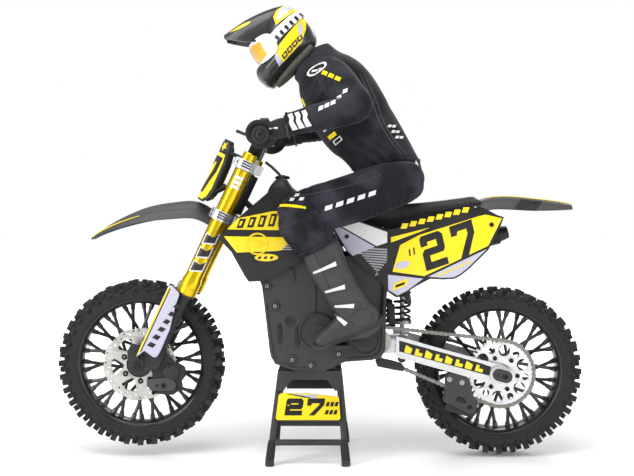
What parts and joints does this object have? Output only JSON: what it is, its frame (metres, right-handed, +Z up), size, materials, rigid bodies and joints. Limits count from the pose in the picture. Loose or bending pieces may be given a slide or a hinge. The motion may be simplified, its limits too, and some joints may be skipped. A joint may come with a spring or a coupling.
{
  "type": "rc motorcycle",
  "caption": "Radio controlled quarter scale motocross bike with suspension, chain drive, spoked wheels, a dressed rider figure and a folded-sheet bench stand.",
  "frame": {"origin": "on the ground under the middle of the bike, at the bottom of the stand's feet", "axes": "+Z up, +X towards the rear wheel, the bike's left side at -Y"},
  "size_m": [0.543, 0.2128, 0.4711],
  "materials": {
    "dark_plastic": "satin",
    "black_plastic": "satin",
    "yellow_plastic": "gloss",
    "grey_plastic": "satin",
    "white_plastic": "satin",
    "gold_anodised": "satin",
    "silver_metal": "satin",
    "black_metal": "satin",
    "steel": "satin",
    "tyre_rubber": "matte",
    "jersey_cloth": "matte",
    "trouser_cloth": "matte",
    "glove_cloth": "matte",
    "seat_vinyl": "matte",
    "helmet_shell": "gloss"
  },
  "bodies": {
    "stand": {"stand_top": "black_metal", "stand_frame": "black_metal", "stand_number_plate": "yellow_plastic"},
    "chassis": {"side_plate_left": "dark_plastic", "side_plate_right": "dark_plastic", "skid_plate": "black_plastic", "frame": "black_metal", "swingarm_pin": "steel", "gyro_shaft": "steel", "motor": "steel", "battery": "black_plastic", "receiver_box": "black_plastic", "steering_servo": "black_plastic", "flywheel_cover": "dark_plastic", "sprocket_cover": "dark_plastic", "footpegs": "steel", "seat": "seat_vinyl", "tank_cover": "black_plastic", "shroud_left": "black_plastic", "shroud_right": "black_plastic", "side_panel_left": "yellow_plastic", "side_panel_right": "yellow_plastic", "rear_fender": "grey_plastic", "silencer": "silver_metal", "shock_body": "black_metal", "shock_spring": "yellow_plastic", "rider_torso": "jersey_cloth", "helmet": "helmet_shell", "arm_left": "jersey_cloth", "arm_right": "jersey_cloth", "leg_left": "trouser_cloth", "leg_right": "trouser_cloth"},
    "gyro": {"gyro_flywheel": "steel"},
    "drive_sprocket_body": {"drive_sprocket": "steel"},
    "shock_rod_body": {"shock_rod": "steel"},
    "swingarm_body": {"swingarm": "silver_metal", "chain": "steel", "chain_guide": "black_plastic", "rear_axle": "steel"},
    "rear_wheel": {"rear_tyre": "tyre_rubber", "rear_rim": "black_plastic", "rear_sprocket": "silver_metal"},
    "steering": {"lower_clamp": "silver_metal", "upper_clamp": "silver_metal", "handlebar": "black_metal", "fork_tube_left": "gold_anodised", "fork_tube_right": "gold_anodised", "front_number_plate": "yellow_plastic", "front_fender": "dark_plastic", "glove_left": "glove_cloth", "glove_right": "glove_cloth"},
    "fork_lowers": {"fork_leg_left": "black_metal", "fork_leg_right": "black_metal", "front_axle": "steel", "fork_guard_left": "white_plastic", "fork_guard_right": "white_plastic", "front_caliper": "black_metal"},
    "front_wheel": {"front_tyre": "tyre_rubber", "front_rim": "black_plastic", "front_brake_disc": "steel"}
  },
  "joints": [
    {"name": "lift_off_stand", "type": "slide", "parent": "stand", "child": "chassis", "axis": [0, 0, 1], "range_m": [0, 0.08]},
    {"name": "steer", "type": "hinge", "parent": "chassis", "child": "steering", "pos_m": [-0.09358, 0, 0.24591], "axis": [0.4226, 0, 0.9063], "range_deg": [-20, 20], "stiffness_Nm_per_rad": 0.6, "deforming": ["arm_left", "arm_right"]},
    {"name": "fork_slide", "type": "slide", "parent": "steering", "child": "fork_lowers", "axis": [0.4226, 0, 0.9063], "range_m": [0, 0.045], "stiffness_N_per_m": 300, "springref_m": -0.02},
    {"name": "front_wheel_spin", "type": "hinge", "parent": "fork_lowers", "child": "front_wheel", "pos_m": [-0.185, 0, 0.096], "axis": [0, 1, 0], "continuous": true},
    {"name": "swing", "type": "hinge", "parent": "chassis", "child": "swingarm_body", "pos_m": [0.06, 0, 0.1205], "axis": [0, -1, 0], "range_deg": [0, 17], "stiffness_Nm_per_rad": 3, "springref_deg": -11.46},
    {"name": "rear_wheel_spin", "type": "hinge", "parent": "swingarm_body", "child": "rear_wheel", "pos_m": [0.185, 0, 0.0882], "axis": [0, 1, 0], "continuous": true},
    {"name": "drive_spin", "type": "hinge", "parent": "chassis", "child": "drive_sprocket_body", "pos_m": [0.06, 0, 0.1205], "axis": [0, 1, 0], "continuous": true},
    {"name": "gyro_spin", "type": "hinge", "parent": "chassis", "child": "gyro", "pos_m": [-0.008, 0, 0.132], "axis": [0, 1, 0], "continuous": true},
    {"name": "shock_slide", "type": "slide", "parent": "chassis", "child": "shock_rod_body", "axis": [0, 0, 1], "range_m": [0, 0.008], "deforming": ["shock_spring"]}
  ],
  "couplings": [
    {"joint": "drive_spin", "follows": "rear_wheel_spin", "ratio": 2.2},
    {"joint": "shock_slide", "follows": "swing", "m_per_rad": 0.0262}
  ]
}
